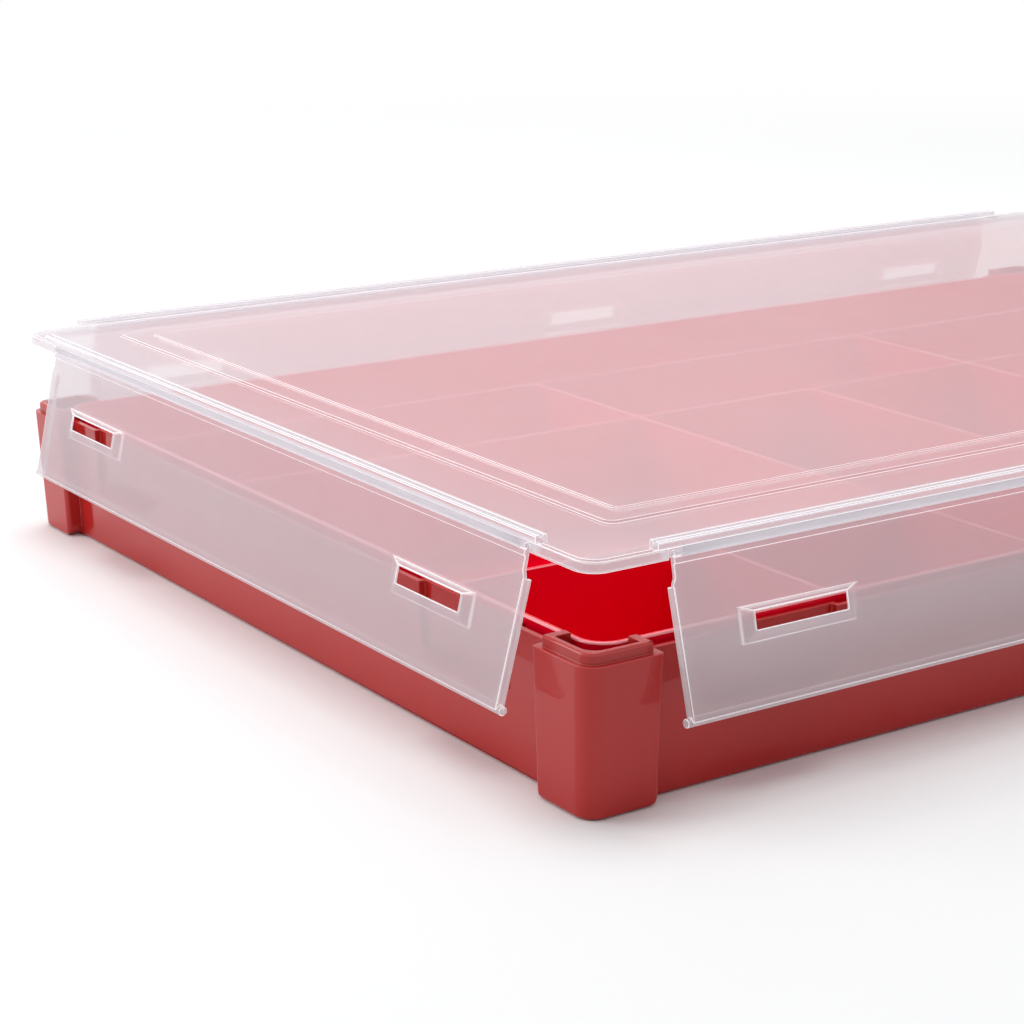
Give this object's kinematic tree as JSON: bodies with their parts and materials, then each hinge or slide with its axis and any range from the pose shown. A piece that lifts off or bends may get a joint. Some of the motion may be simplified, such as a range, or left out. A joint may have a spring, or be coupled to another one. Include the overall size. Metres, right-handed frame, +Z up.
{
  "type": "compartment storage case",
  "caption": "Flat rectangular storage case with a glossy compartment insert in an outer tray and a frosted clear lid whose slotted hinged flaps clip over lugs on the tray",
  "frame": {"origin": "on the floor plane, under the middle of the tray", "axes": "+Z up; +X along the long side, away from the near corner of the picture; +Y across, away from the viewer"},
  "size_m": [0.5198, 0.3628, 0.0732],
  "materials": {
    "tray_plastic": "glossy moulded, brick red",
    "insert_plastic": "glossy moulded, vivid red",
    "clear_plastic": "frosted translucent, colourless"
  },
  "bodies": {
    "tray": {"outer_tray": "tray_plastic", "compartment_insert": "insert_plastic"},
    "lid": {"lid": "clear_plastic"},
    "flap_front": {"flap_front": "clear_plastic"},
    "flap_right": {"flap_right": "clear_plastic"},
    "flap_back": {"flap_back": "clear_plastic"},
    "flap_left": {"flap_left": "clear_plastic"}
  },
  "joints": [
    {"name": "lid_lift", "type": "slide", "parent": "tray", "child": "lid", "axis": [0, 0, 1], "range_m": [-0.0234, 0.08]},
    {"name": "front_hinge", "type": "hinge", "parent": "lid", "child": "flap_front", "pos_m": [0, -0.1715, 0.0689], "axis": [-1, 0, 0], "range_deg": [-15.4, 95]},
    {"name": "right_hinge", "type": "hinge", "parent": "lid", "child": "flap_right", "pos_m": [0.25, 0, 0.0689], "axis": [0, -1, 0], "range_deg": [-15.4, 95]},
    {"name": "back_hinge", "type": "hinge", "parent": "lid", "child": "flap_back", "pos_m": [0, 0.1715, 0.0689], "axis": [1, 0, 0], "range_deg": [-15.4, 95]},
    {"name": "left_hinge", "type": "hinge", "parent": "lid", "child": "flap_left", "pos_m": [-0.25, 0, 0.0689], "axis": [0, 1, 0], "range_deg": [-15.4, 95]}
  ]
}
